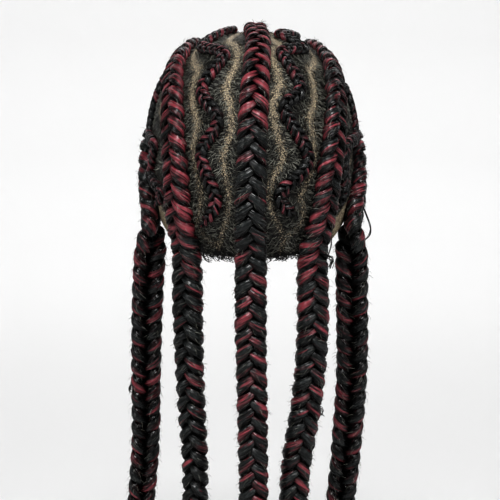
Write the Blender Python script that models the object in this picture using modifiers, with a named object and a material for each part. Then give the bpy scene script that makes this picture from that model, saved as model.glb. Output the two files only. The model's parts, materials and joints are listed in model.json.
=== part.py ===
"""Braid wig: a lace cap, five thick cornrow braids that hang free below it, and four zigzag cornrows.

Metres, +Z up. The face opening looks along -Y, the nape is at +Y and the wearer's left is +X. The
origin is the inside of the crown, where the wig sits on a head. A place on the head is an azimuth,
in degrees from the nape toward the wearer's left, and an elevation above the head's widest level.
"""

import math
from collections import namedtuple

import bmesh
import bpy
from mathutils import Vector

# The head that the cap is sewn for. Its form is as deep below its widest level as the dome above is
# high, and the rim stays above the lowest rise, given as a share of that height.
HEAD_WIDTH = 0.155
HEAD_LENGTH = 0.195
HEAD_DOME_HEIGHT = 0.098
HEAD_SQUARENESS = 2.4
LOWEST_RISE = -0.96

# The cap
CAP_WALL = 0.002
CAP_DROP = 0.165
CAP_COLUMNS = 40
CAP_ROWS = 9

# The thick braids, as they hang
BRAID_WIDTH = 0.0235
BRAID_THICKNESS = 0.0145
BRAID_STITCH = 0.0124
BRAID_FALL = 0.285
TAIL_LENGTH = 0.030
LEAVING_BEND = 0.012
TURNING_LENGTH = 0.045

# The zigzag cornrows
ZIGZAG_WIDTH = 0.0100
ZIGZAG_HEIGHT = 0.0055
ZIGZAG_STITCH = 0.0066

# Clearances: braid to cap, and braid to braid
SEAT_GAP = 0.0003
LANE_GAP = 0.0012

# The cap's rim: azimuth, and its depth below the crown as a share of CAP_DROP
RIM = (
    (0, 1.00),
    (30, 0.99),
    (60, 0.96),
    (78, 0.87),
    (92, 0.74),
    (106, 0.72),
    (118, 0.78),
    (128, 0.62),
    (142, 0.46),
    (160, 0.37),
    (180, 0.34),
)

# A thick braid's size along it: station (0 at the hairline, 1 where it leaves the cap, 2 at its tip),
# width as a share of its full width, and thickness as a share of BRAID_THICKNESS
BRAID_SIZES = (
    (0.00, 0.46, 0.40),
    (0.20, 0.62, 0.46),
    (0.45, 0.76, 0.54),
    (0.70, 0.92, 0.66),
    (0.95, 1.00, 0.80),
    (1.15, 1.00, 1.00),
    (2.00, 0.92, 0.94),
)

# Route: azimuth and elevation from the hairline to where the braid leaves the cap. Width share: of
# BRAID_WIDTH. Tip share: of that width, left at the tip. Fall share: of BRAID_FALL. Facing: the azimuth
# that its face turns to as it hangs. Sway: sideways offset at each fifth of the fall, as a share of it.
Braid = namedtuple("Braid", "route width_share tip_share fall_share facing sway color")
BRAIDS = {
    "braid_center": Braid(
        route=((180, 28), (182, 48), (188, 72), (-8, 80), (-6, 62), (-2, 40), (0, 18), (1, -6), (1, -31)),
        width_share=1.00,
        tip_share=0.94,
        fall_share=1.00,
        facing=0,
        sway=(0, 0.001, -0.003, -0.006, -0.008, -0.010),
        color="3a0d16",
    ),
    "braid_inner_left": Braid(
        route=(
            (151, 20), (144, 37), (120, 53), (79, 50), (64.5, 40.5),
            (50.5, 26), (44, 4), (42.5, -13), (42.5, -31),
        ),
        width_share=1.04,
        tip_share=0.72,
        fall_share=0.98,
        facing=25,
        sway=(0, 0, -0.006, -0.017, -0.016, -0.012),
        color="5a1420",
    ),
    "braid_inner_right": Braid(
        route=(
            (-152, 20), (-146, 36), (-124, 52), (-84, 49), (-66, 39.5),
            (-53, 24.5), (-44.5, 4), (-41, -13), (-38, -31),
        ),
        width_share=1.02,
        tip_share=0.96,
        fall_share=1.00,
        facing=-10,
        sway=(0, -0.007, 0.006, 0.036, 0.046, 0.060),
        color="4a121c",
    ),
    "braid_outer_left": Braid(
        route=((138, 11), (124, 17), (108, 14), (95, 5), (86, -7), (80, -22)),
        width_share=1.04,
        tip_share=0.84,
        fall_share=0.99,
        facing=182,
        sway=(0, 0.013, 0.019, 0.022, 0.038, 0.046),
        color="2c0a11",
    ),
    "braid_outer_right": Braid(
        route=((-138, 11), (-124, 17), (-108, 14), (-95, 5), (-86, -6), (-77, -22)),
        width_share=1.06,
        tip_share=0.90,
        fall_share=1.01,
        facing=-180,
        sway=(0, -0.003, -0.004, 0.009, 0.028, 0.042),
        color="2c0a11",
    ),
}

# The zigzags. Beside: the two thick braids of the lane. Corners: progress along the lane from the
# hairline to the nape, and the place across it, 0 against the first braid and 1 against the second.
Zigzag = namedtuple("Zigzag", "beside corners color")
ZIGZAGS = {
    "zigzag_inner_left": Zigzag(
        beside=("braid_center", "braid_inner_left"),
        corners=(
            (0.03, 0.50), (0.12, 0.15), (0.22, 0.80), (0.33, 0.20), (0.45, 0.80), (0.55, 0.25),
            (0.63, 0.70), (0.71, 0.30), (0.77, 0.78), (0.89, 0.40), (0.95, 1.00),
        ),
        color="1b1417",
    ),
    "zigzag_inner_right": Zigzag(
        beside=("braid_center", "braid_inner_right"),
        corners=(
            (0.03, 0.50), (0.12, 0.80), (0.22, 0.20), (0.32, 0.75), (0.41, 0.15), (0.47, 0.68),
            (0.54, 0.08), (0.63, 0.50), (0.69, 0.18), (0.78, 0.92), (0.88, 0.18), (0.93, 0.87),
        ),
        color="1b1417",
    ),
    "zigzag_outer_left": Zigzag(
        beside=("braid_inner_left", "braid_outer_left"),
        corners=(
            (0.07, 0.50), (0.17, 0.90), (0.30, 0.10), (0.45, 0.45), (0.59, 1.00),
            (0.69, 0.45), (0.78, 1.00), (0.86, 0.32), (0.92, 0.78),
        ),
        color="1b1417",
    ),
    "zigzag_outer_right": Zigzag(
        beside=("braid_inner_right", "braid_outer_right"),
        corners=(
            (0.07, 0.50), (0.16, 0.10), (0.29, 0.90), (0.44, 0.45), (0.59, 1.00),
            (0.70, 0.18), (0.78, 0.22), (0.85, 0.40), (0.91, 0.25),
        ),
        color="1b1417",
    ),
}

# A section's outline: place across and place out of the face, as shares of half the width and half
# the thickness. Crease: how far the side that isn't swollen by a stitch draws in.
Section = namedtuple("Section", "outline crease")
BRAID_SECTION = Section(
    outline=(
        (0.00, 1.00), (0.75, 0.75), (1.00, 0.00), (0.75, -0.75),
        (0.00, -1.00), (-0.75, -0.75), (-1.00, 0.00), (-0.75, 0.75),
    ),
    crease=0.76,
)
ZIGZAG_SECTION = Section(outline=((0.60, 1.00), (1.00, -1.00), (-1.00, -1.00), (-0.60, 1.00)), crease=0.76)
SAMPLES_PER_SPAN = 16

# Stitches that a section leans forward from its middle to its back, and the size left at the ends
SECTION_LEAN = 0.75
TIP_SHARE = 0.30
ZIGZAG_END_SHARE = 0.45


def clear_scene():
    for old in list(bpy.data.objects):
        bpy.data.objects.remove(old)


def mix(low, high, share):
    return low + (high - low) * share


def smooth(share):
    share = min(1.0, max(0.0, share))
    return share * share * (3 - 2 * share)


def table_value(rows, place, column):
    """The value of a column at a place in the first one, in straight runs between the rows."""
    for low, high in zip(rows, rows[1:]):
        if place <= high[0]:
            return mix(low[column], high[column], max(0.0, (place - low[0]) / (high[0] - low[0])))
    return rows[-1][column]


def spline(knots, steps):
    """Points of a smooth curve through the knots, with this many steps between neighbours."""
    padded = [2 * knots[0] - knots[1], *knots, 2 * knots[-1] - knots[-2]]
    points = []
    for before, start, end, after in zip(padded, padded[1:], padded[2:], padded[3:]):
        for step in range(steps):
            t = step / steps
            line = 2 * start + (end - before) * t
            bend = (2 * before - 5 * start + 4 * end - after) * t * t
            points.append((line + bend + (3 * start - before - 3 * end + after) * t**3) / 2)
    return [*points, knots[-1]]


def direction(azimuth, elevation):
    turn = math.radians(azimuth)
    rise = math.radians(elevation)
    return Vector((math.sin(turn) * math.cos(rise), math.cos(turn) * math.cos(rise), math.sin(rise)))


def on_head(aim, lift):
    """The point this far off the head form in a direction from its middle, and the form's normal."""
    level = math.hypot(aim.x, aim.y)
    reach = (level**HEAD_SQUARENESS + abs(aim.z) ** HEAD_SQUARENESS) ** (-1 / HEAD_SQUARENESS)
    half_width = HEAD_WIDTH / 2
    half_length = HEAD_LENGTH / 2
    round_pull = (level * reach) ** (HEAD_SQUARENESS - 2) * reach
    rise_pull = abs(aim.z * reach) ** (HEAD_SQUARENESS - 1)
    normal = Vector(
        (
            round_pull * aim.x / half_width,
            round_pull * aim.y / half_length,
            math.copysign(rise_pull, aim.z) / HEAD_DOME_HEIGHT,
        )
    ).normalized()
    spot = Vector((aim.x * half_width, aim.y * half_length, aim.z * HEAD_DOME_HEIGHT)) * reach
    return spot - Vector((0, 0, HEAD_DOME_HEIGHT)) + normal * lift, normal


def rim_elevation(azimuth):
    """The elevation at which the head form reaches the rim's depth."""
    azimuth = abs((azimuth + 180) % 360 - 180)
    depth = table_value(RIM, azimuth, 1) * CAP_DROP
    rise = max(LOWEST_RISE, 1 - depth / HEAD_DOME_HEIGHT)
    power = abs(rise) ** HEAD_SQUARENESS
    slope = (power / (1 - power)) ** (1 / HEAD_SQUARENESS)
    return math.degrees(math.atan(math.copysign(slope, rise)))


class Route:
    """A line that a braid follows: its points, the way its face looks there, and the length so far."""

    def __init__(self, points, faces):
        self.points = points
        self.faces = faces
        self.lengths = [0.0]
        for start, end in zip(points, points[1:]):
            self.lengths.append(self.lengths[-1] + (end - start).length)
        self.length = self.lengths[-1]

    def at(self, distance):
        """The point there, the direction sideways and the direction out of the face."""
        distance = min(max(distance, 0.0), self.length)
        last = len(self.points) - 2
        index = next((i for i in range(last) if self.lengths[i + 1] >= distance), last)
        run = self.lengths[index + 1] - self.lengths[index]
        share = (distance - self.lengths[index]) / run
        point = self.points[index].lerp(self.points[index + 1], share)
        before = self.points[max(index - 1, 0)]
        after = self.points[min(index + 2, last + 1)]
        along = (after - before).normalized()
        face = self.faces[index].lerp(self.faces[index + 1], share)
        face = (face - along * face.dot(along)).normalized()
        return point, along.cross(face), face


def braid_size(braid, station):
    """A thick braid's width and thickness at a station of BRAID_SIZES."""
    taper = mix(1.0, braid.tip_share, max(0.0, station - 1))
    width = BRAID_WIDTH * braid.width_share * taper * table_value(BRAID_SIZES, station, 1)
    return width, BRAID_THICKNESS * table_value(BRAID_SIZES, station, 2)


def head_directions(braid):
    knots = [direction(azimuth, elevation) for azimuth, elevation in braid.route]
    return [aim.normalized() for aim in spline(knots, SAMPLES_PER_SPAN)]


def thick_route(braid):
    """The middle line of a thick braid, over the cap and then hanging, and its stations."""
    points = []
    faces = []
    aims = head_directions(braid)
    for index, aim in enumerate(aims):
        thickness = braid_size(braid, index / (len(aims) - 1))[1]
        point, normal = on_head(aim, CAP_WALL + SEAT_GAP + thickness / 2)
        points.append(point)
        faces.append(normal)
    head_count = len(points)
    leaving = (points[-1] - points[-2]).normalized()
    slope = Vector((leaving.x, leaving.y, 0)) / abs(leaving.z) * LEAVING_BEND
    start = points[-1]
    fall = start.z + CAP_DROP + BRAID_FALL * braid.fall_share
    turn_start = math.degrees(math.atan2(faces[-1].x, faces[-1].y))
    rise_start = math.degrees(math.asin(faces[-1].z))
    sway = [Vector((offset, 0)) for offset in braid.sway]
    offsets = spline(sway, SAMPLES_PER_SPAN)[1:]
    for index, offset in enumerate(offsets):
        drop = fall * (index + 1) / len(offsets)
        swing = slope * (1 - math.exp(-drop / LEAVING_BEND))
        points.append(start + swing + Vector((offset.x * fall, 0, -drop)))
        turned = smooth(drop / TURNING_LENGTH)
        face_turn = mix(turn_start, braid.facing, turned)
        faces.append(direction(face_turn, rise_start * (1 - turned)))
    route = Route(points, faces)
    return route, route.lengths[head_count - 1]


def loft(name, rings):
    """One closed body through rings of like point counts."""
    shape = bmesh.new()
    loops = [[shape.verts.new(point) for point in ring] for ring in rings]
    for lower, upper in zip(loops, loops[1:]):
        for side in range(len(lower)):
            after = (side + 1) % len(lower)
            shape.faces.new((lower[side], lower[after], upper[after], upper[side]))
    shape.faces.new(reversed(loops[0]))
    shape.faces.new(loops[-1])
    bmesh.ops.recalc_face_normals(shape, faces=shape.faces)
    mesh = bpy.data.meshes.new(name)
    shape.to_mesh(mesh)
    shape.free()
    return mesh


def plait(name, route, size_at, stitch, section):
    """A plaited bundle along a route: slanted sections that swell by turns on one side and the other.

    The slant carries each section forward under the braid, so that the strands run down and
    outward on its face and back to the middle behind.
    """
    count = max(8, round(route.length / (stitch / 2)))
    rings = []
    for step in range(count + 1):
        middle = route.length * step / count
        to_end = min(middle, route.length - middle)
        lean = min(SECTION_LEAN * stitch, 0.8 * to_end)
        swollen_side = 1 if step % 2 else -1
        ring = []
        for across, outward in section.outline:
            place = middle - lean * outward
            point, side, face = route.at(place)
            width, thickness = size_at(place)
            swell = mix(section.crease, 1.0, 0.5)
            if across:
                swell = 1.0 if across * swollen_side > 0 else section.crease
            offset = side * (across * width / 2) + face * (outward * thickness / 2)
            ring.append(point + offset * swell)
        rings.append(ring)
    return loft(name, rings)


def build_cap():
    """An open half sphere drawn over the head form down to the rim, with a wall outside it."""
    shape = bmesh.new()
    bmesh.ops.create_uvsphere(shape, u_segments=CAP_COLUMNS, v_segments=2 * CAP_ROWS, radius=1.0)
    below = [vert for vert in shape.verts if vert.co.z < -0.01]
    bmesh.ops.delete(shape, geom=below, context="VERTS")
    for vert in shape.verts:
        azimuth = math.degrees(math.atan2(vert.co.x, vert.co.y))
        depth = math.acos(min(1.0, vert.co.z)) / (math.pi / 2)
        elevation = mix(90, rim_elevation(azimuth), depth)
        vert.co = on_head(direction(azimuth, elevation), 0.0)[0]
    bmesh.ops.recalc_face_normals(shape, faces=shape.faces)
    mesh = bpy.data.meshes.new("lace_cap")
    shape.to_mesh(mesh)
    shape.free()
    return mesh


def build_thick_braid(name, braid):
    route, leaving = thick_route(braid)

    def size_at(distance):
        if distance < leaving:
            station = distance / leaving
        else:
            station = 1 + (distance - leaving) / (route.length - leaving)
        width, thickness = braid_size(braid, station)
        from_tip = (route.length - distance) / TAIL_LENGTH
        tail = mix(TIP_SHARE, 1.0, smooth(from_tip))
        return width * tail, thickness * tail

    return plait(name, route, size_at, BRAID_STITCH, BRAID_SECTION)


def lane_direction(zigzag, progress, across):
    """A direction in the lane between two thick braids, kept clear of both."""
    aims = []
    margins = []
    for neighbour in zigzag.beside:
        braid = BRAIDS[neighbour]
        line = head_directions(braid)
        place = progress * (len(line) - 1)
        index = min(int(place), len(line) - 2)
        aims.append(line[index].lerp(line[index + 1], place - index).normalized())
        margins.append(braid_size(braid, progress)[0] / 2 + LANE_GAP + ZIGZAG_WIDTH / 2)
    lane = (on_head(aims[0], CAP_WALL)[0] - on_head(aims[1], CAP_WALL)[0]).length
    low = margins[0] / lane
    high = 1 - margins[1] / lane
    if low > high:
        low = high = margins[0] / (margins[0] + margins[1])
    return aims[0].slerp(aims[1], mix(low, high, across))


def build_zigzag(name, zigzag):
    knots = [lane_direction(zigzag, *corner) for corner in zigzag.corners]
    points = []
    faces = []
    for aim in spline(knots, SAMPLES_PER_SPAN):
        point, normal = on_head(aim.normalized(), CAP_WALL + SEAT_GAP + ZIGZAG_HEIGHT / 2)
        points.append(point)
        faces.append(normal)
    route = Route(points, faces)

    def size_at(distance):
        from_end = min(distance, route.length - distance) / (2 * ZIGZAG_STITCH)
        share = mix(ZIGZAG_END_SHARE, 1.0, smooth(from_end))
        return ZIGZAG_WIDTH * share, ZIGZAG_HEIGHT

    return plait(name, route, size_at, ZIGZAG_STITCH, ZIGZAG_SECTION)


def hair_material(name, color, roughness):
    material = bpy.data.materials.new(name)
    material.use_nodes = True
    shader = material.node_tree.nodes["Principled BSDF"]
    parts = [int(color[place : place + 2], 16) / 255 for place in (0, 2, 4)]
    linear = [part / 12.92 if part <= 0.04045 else ((part + 0.055) / 1.055) ** 2.4 for part in parts]
    shader.inputs["Base Color"].default_value = (*linear, 1.0)
    shader.inputs["Roughness"].default_value = roughness
    shader.inputs["Metallic"].default_value = 0.0
    return material


def place(name, mesh, color, roughness, collection, root):
    mesh.materials.append(hair_material(name, color, roughness))
    mesh.shade_smooth()
    piece = bpy.data.objects.new(name, mesh)
    piece.parent = root
    collection.objects.link(piece)
    return piece


def build_wig():
    clear_scene()
    collection = bpy.data.collections.new("braid_wig")
    bpy.context.scene.collection.children.link(collection)
    root = bpy.data.objects.new("head_seat", None)
    collection.objects.link(root)
    cap = place("lace_cap", build_cap(), "2a211c", 0.8, collection, root)
    wall = cap.modifiers.new("wall", "SOLIDIFY")
    wall.thickness = CAP_WALL
    wall.offset = 1.0
    wall.use_even_offset = True
    for name, braid in BRAIDS.items():
        place(name, build_thick_braid(name, braid), braid.color, 0.45, collection, root)
    for name, zigzag in ZIGZAGS.items():
        place(name, build_zigzag(name, zigzag), zigzag.color, 0.5, collection, root)


build_wig()
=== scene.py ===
"""A braid wig seen from behind, in a white photo studio.

Thick raised cornrows in black and burgundy hair run over a lace cap and hang free below the nape.
Small zigzag cornrows lie in the lanes between them. Metres, +Z up, the nape toward +Y and the
wearer's left toward +X; the origin is the inside of the cap's crown.
"""

import json
import math
import random
from collections import namedtuple

import bmesh
import bpy
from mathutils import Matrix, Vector, kdtree

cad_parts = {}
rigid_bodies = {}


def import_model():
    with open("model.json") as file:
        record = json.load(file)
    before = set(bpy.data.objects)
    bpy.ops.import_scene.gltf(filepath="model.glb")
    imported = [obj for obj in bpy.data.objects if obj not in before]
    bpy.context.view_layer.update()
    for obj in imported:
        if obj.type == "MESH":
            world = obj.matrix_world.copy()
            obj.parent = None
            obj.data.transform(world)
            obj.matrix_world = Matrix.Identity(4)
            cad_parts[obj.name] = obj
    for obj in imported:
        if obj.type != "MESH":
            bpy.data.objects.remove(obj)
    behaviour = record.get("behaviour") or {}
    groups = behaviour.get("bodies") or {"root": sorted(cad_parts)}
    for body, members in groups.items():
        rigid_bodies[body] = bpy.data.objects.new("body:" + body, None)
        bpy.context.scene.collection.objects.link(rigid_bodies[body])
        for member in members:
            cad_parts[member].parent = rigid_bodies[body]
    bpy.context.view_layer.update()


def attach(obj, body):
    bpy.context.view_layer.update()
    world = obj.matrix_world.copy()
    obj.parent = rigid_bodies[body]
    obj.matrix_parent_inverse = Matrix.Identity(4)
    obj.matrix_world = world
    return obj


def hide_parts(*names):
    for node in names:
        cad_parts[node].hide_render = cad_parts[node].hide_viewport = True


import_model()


# The studio
# A white cove goes all round the wig, so that each side of it is seen against pale paper. Two tall
# softboxes stand beside the camera, one hangs above it, and a wide one lights the paper at the back.

CAMERA_TARGET = Vector((0.002, 0.0, -0.171))
CAMERA_DISTANCE = 1.5
CAMERA_RISE = 8.0
CAMERA_LENS = 135.0
COVE_FLOOR = -0.52
COVE_PROFILE = ((1.9, 0.0), (2.25, 0.05), (2.5, 0.2), (2.65, 0.45), (2.7, 0.8), (2.7, 3.2))
COVE_STEPS = 96
ROOM_LIGHT = 0.05

# Each softbox faces its aim. Power is in watts.
Softbox = namedtuple("Softbox", "place aim width height power")
SOFTBOXES = (
    Softbox(place=(1.1, 1.1, 0.7), aim=(0, 0, -0.17), width=0.4, height=0.9, power=6.0),
    Softbox(place=(-1.1, 1.1, 0.7), aim=(0, 0, -0.17), width=0.4, height=0.9, power=6.0),
    Softbox(place=(0, 0.9, 1.1), aim=(0, 0, -0.12), width=0.6, height=0.4, power=16.0),
    Softbox(place=(0, -1.9, 1.7), aim=(0, -2.5, -0.2), width=2.2, height=1.0, power=24.5),
)


def linear_color(code):
    """The linear colour, with full alpha, of a six-digit sRGB code."""
    parts = [int(code[place : place + 2], 16) / 255 for place in (0, 2, 4)]
    return (*(part / 12.92 if part <= 0.04045 else ((part + 0.055) / 1.055) ** 2.4 for part in parts), 1.0)


def new_material(name, constants):
    """A material with these constants on its shader. Returns it with its tree and the shader."""
    material = bpy.data.materials.new(name)
    material.use_nodes = True
    shader = material.node_tree.nodes["Principled BSDF"]
    for socket, value in constants.items():
        shader.inputs[socket].default_value = value
    return material, material.node_tree, shader


def add_object(name, data):
    item = bpy.data.objects.new(name, data)
    bpy.context.scene.collection.objects.link(item)
    return item


def join_rings(shape, rings):
    """Faces from each ring of points to the next, wider one, which look up. The first may be one point."""
    for inner, outer in zip(rings, rings[1:]):
        for left in range(len(inner)):
            right = (left + 1) % len(inner)
            corners = (inner[left], inner[right], outer[right], outer[left])
            shape.faces.new(list(dict.fromkeys(corners)))


def build_cove():
    """The paper's profile turned round the wig's axis, with soft corners."""
    shape = bmesh.new()
    turns = [math.tau * step / COVE_STEPS for step in range(COVE_STEPS)]
    rings = [[shape.verts.new((0, 0, COVE_FLOOR))] * COVE_STEPS]
    for reach, rise in COVE_PROFILE:
        spots = [(reach * math.sin(turn), reach * math.cos(turn), COVE_FLOOR + rise) for turn in turns]
        rings.append([shape.verts.new(spot) for spot in spots])
    join_rings(shape, rings)
    mesh = bpy.data.meshes.new("cove")
    shape.to_mesh(mesh)
    shape.free()
    mesh.shade_smooth()
    # Seamless paper, rolled smooth and matt: an even white without any gloss
    finish = {"Base Color": linear_color("e4e4e4"), "Roughness": 0.9, "Specular IOR Level": 0.2}
    mesh.materials.append(new_material("white_paper", finish)[0])
    add_object("cove", mesh)


def build_studio():
    scene = bpy.context.scene
    scene.view_settings.view_transform = "Standard"
    scene.view_settings.look = "High Contrast"
    world = bpy.data.worlds.new("studio")
    scene.world = world
    world.use_nodes = True
    background = world.node_tree.nodes["Background"]
    background.inputs["Color"].default_value = linear_color("ffffff")
    background.inputs["Strength"].default_value = ROOM_LIGHT
    for number, softbox in enumerate(SOFTBOXES):
        light = bpy.data.lights.new(f"softbox_{number}", "AREA")
        light.shape = "RECTANGLE"
        light.size = softbox.width
        light.size_y = softbox.height
        light.energy = softbox.power
        lamp = add_object(light.name, light)
        lamp.location = softbox.place
        away = Vector(softbox.place) - Vector(softbox.aim)
        lamp.rotation_euler = away.to_track_quat("Z", "Y").to_euler()
    rise = math.radians(CAMERA_RISE)
    camera = bpy.data.cameras.new("photo_camera")
    camera.lens = CAMERA_LENS
    viewer = add_object("photo_camera", camera)
    viewer.location = CAMERA_TARGET + Vector((0, math.cos(rise), math.sin(rise))) * CAMERA_DISTANCE
    viewer.rotation_euler = (math.pi / 2 - rise, 0, math.pi)
    scene.camera = viewer
    build_cove()


build_studio()


# The thick braids
# Five jumbo cornrows: each is three fat bundles of kinky synthetic fibre, black mixed with burgundy,
# plaited flat over the cap and then hanging free.

HEAD_WIDTH = 0.155
HEAD_LENGTH = 0.195
HEAD_DOME_HEIGHT = 0.098
HEAD_SQUARENESS = 2.4
CAP_WALL = 0.002
CAP_DROP = 0.165
BRAID_WIDTH = 0.0235
BRAID_THICKNESS = 0.0145
BRAID_STITCH = 0.0124
BRAID_FALL = 0.285
TAIL_LENGTH = 0.030
TIP_SHARE = 0.30
LEAVING_BEND = 0.012
TURNING_LENGTH = 0.045
SEAT_GAP = 0.0003
SAMPLES_PER_SPAN = 16
STRAND_COUNT = 3

# A patch of one colour on a strand, in millimetres, and how far apart the strands' patterns are read
LOCK_WIDTH = 5.5
LOCK_LENGTH = 15.0
PATTERN_STEP = 40.0

# Loose hairs may start where a strand reaches this share of the way out to the plait's outline
STRAY_REACH = 0.9

# Station (0 at the hairline, 1 where the braid leaves the cap, 2 at its tip), share of the full
# width and share of the full thickness
BRAID_SIZES = (
    (0.00, 0.46, 0.40),
    (0.20, 0.62, 0.46),
    (0.45, 0.76, 0.54),
    (0.70, 0.92, 0.66),
    (0.95, 1.00, 0.80),
    (1.15, 1.00, 1.00),
    (2.00, 0.92, 0.94),
)

# Route: azimuth and elevation on the head form, from the hairline to the nape. Facing: the azimuth that
# the hanging braid's face turns to. Sway: sideways offset at each fifth of the fall, as a share of it.
# Reds: station and share of burgundy there. Start: where the first stitch begins, in stitches.
Braid = namedtuple("Braid", "route width_share tip_share fall_share facing sway reds start")
BRAIDS = {
    "braid_center": Braid(
        route=((180, 28), (182, 48), (188, 72), (-8, 80), (-6, 62), (-2, 40), (0, 18), (1, -6), (1, -31)),
        width_share=1.00,
        tip_share=0.94,
        fall_share=1.00,
        facing=0,
        sway=(0, 0.001, -0.003, -0.006, -0.008, -0.010),
        reds=((0.0, 0.5), (0.45, 0.8), (0.70, 0.75), (0.80, 0.2), (1.0, 0.3), (1.2, 0.5), (2.0, 0.45)),
        start=0.0,
    ),
    "braid_inner_left": Braid(
        route=(
            (151, 20), (144, 37), (120, 53), (79, 50), (64.5, 40.5),
            (50.5, 26), (44, 4), (42.5, -13), (42.5, -31),
        ),
        width_share=1.04,
        tip_share=0.72,
        fall_share=0.98,
        facing=25,
        sway=(0, 0, -0.006, -0.017, -0.016, -0.012),
        reds=((0.0, 0.5), (0.5, 0.7), (0.95, 0.65), (1.1, 0.3), (2.0, 0.2)),
        start=0.4,
    ),
    "braid_inner_right": Braid(
        route=(
            (-152, 20), (-146, 36), (-124, 52), (-84, 49), (-66, 39.5),
            (-53, 24.5), (-44.5, 4), (-41, -13), (-38, -31),
        ),
        width_share=1.02,
        tip_share=0.96,
        fall_share=1.00,
        facing=-10,
        sway=(0, -0.007, 0.006, 0.036, 0.046, 0.060),
        reds=((0.0, 0.5), (0.5, 0.5), (0.9, 0.5), (1.1, 0.35), (2.0, 0.4)),
        start=0.8,
    ),
    "braid_outer_left": Braid(
        route=((138, 11), (124, 17), (108, 14), (95, 5), (86, -7), (80, -22)),
        width_share=1.04,
        tip_share=0.84,
        fall_share=0.99,
        facing=182,
        sway=(0, 0.013, 0.019, 0.022, 0.038, 0.046),
        reds=((0.0, 0.4), (1.0, 0.4), (2.0, 0.4)),
        start=0.2,
    ),
    "braid_outer_right": Braid(
        route=((-138, 11), (-124, 17), (-108, 14), (-95, 5), (-86, -6), (-77, -22)),
        width_share=1.06,
        tip_share=0.90,
        fall_share=1.01,
        facing=-180,
        sway=(0, -0.003, -0.004, 0.009, 0.028, 0.042),
        reds=((0.0, 0.4), (1.0, 0.4), (2.0, 0.45)),
        start=0.6,
    ),
}


def mix(low, high, share):
    return low + (high - low) * share


def smooth(share):
    share = min(1.0, max(0.0, share))
    return share * share * (3 - 2 * share)


def table_value(rows, place, column):
    """The value of a column at a place in the first one, in straight runs between the rows."""
    for low, high in zip(rows, rows[1:]):
        if place <= high[0]:
            return mix(low[column], high[column], max(0.0, (place - low[0]) / (high[0] - low[0])))
    return rows[-1][column]


def spline(knots, steps):
    """Points of a smooth curve through the knots, with this many steps between neighbours."""
    padded = [2 * knots[0] - knots[1], *knots, 2 * knots[-1] - knots[-2]]
    points = []
    for before, start, end, after in zip(padded, padded[1:], padded[2:], padded[3:]):
        for step in range(steps):
            t = step / steps
            line = 2 * start + (end - before) * t
            bend = (2 * before - 5 * start + 4 * end - after) * t * t
            points.append((line + bend + (3 * start - before - 3 * end + after) * t**3) / 2)
    return [*points, knots[-1]]


def direction(azimuth, elevation):
    turn = math.radians(azimuth)
    rise = math.radians(elevation)
    return Vector((math.sin(turn) * math.cos(rise), math.cos(turn) * math.cos(rise), math.sin(rise)))


def on_head(aim, lift):
    """The point this far off the head form in a direction from its middle, and the form's normal."""
    level = math.hypot(aim.x, aim.y)
    reach = (level**HEAD_SQUARENESS + abs(aim.z) ** HEAD_SQUARENESS) ** (-1 / HEAD_SQUARENESS)
    half_width = HEAD_WIDTH / 2
    half_length = HEAD_LENGTH / 2
    round_pull = (level * reach) ** (HEAD_SQUARENESS - 2) * reach
    rise_pull = abs(aim.z * reach) ** (HEAD_SQUARENESS - 1)
    normal = Vector(
        (
            round_pull * aim.x / half_width,
            round_pull * aim.y / half_length,
            math.copysign(rise_pull, aim.z) / HEAD_DOME_HEIGHT,
        )
    ).normalized()
    spot = Vector((aim.x * half_width, aim.y * half_length, aim.z * HEAD_DOME_HEIGHT)) * reach
    return spot - Vector((0, 0, HEAD_DOME_HEIGHT)) + normal * lift, normal


class Route:
    """A line that a braid follows: its points, the way its face looks there, and the length so far."""

    def __init__(self, points, faces):
        self.points = points
        self.faces = faces
        self.lengths = [0.0]
        for start, end in zip(points, points[1:]):
            self.lengths.append(self.lengths[-1] + (end - start).length)
        self.length = self.lengths[-1]

    def at(self, distance):
        """The point there, the direction sideways and the direction out of the face."""
        distance = min(max(distance, 0.0), self.length)
        last = len(self.points) - 2
        index = next((i for i in range(last) if self.lengths[i + 1] >= distance), last)
        run = self.lengths[index + 1] - self.lengths[index]
        share = (distance - self.lengths[index]) / run
        point = self.points[index].lerp(self.points[index + 1], share)
        before = self.points[max(index - 1, 0)]
        after = self.points[min(index + 2, last + 1)]
        along = (after - before).normalized()
        face = self.faces[index].lerp(self.faces[index + 1], share)
        face = (face - along * face.dot(along)).normalized()
        return point, along.cross(face), face


def braid_size(braid, station):
    """A thick braid's width and thickness at a station of BRAID_SIZES."""
    taper = mix(1.0, braid.tip_share, max(0.0, station - 1))
    width = BRAID_WIDTH * braid.width_share * taper * table_value(BRAID_SIZES, station, 1)
    return width, BRAID_THICKNESS * table_value(BRAID_SIZES, station, 2)


def head_directions(braid):
    knots = [direction(azimuth, elevation) for azimuth, elevation in braid.route]
    return [aim.normalized() for aim in spline(knots, SAMPLES_PER_SPAN)]


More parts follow.
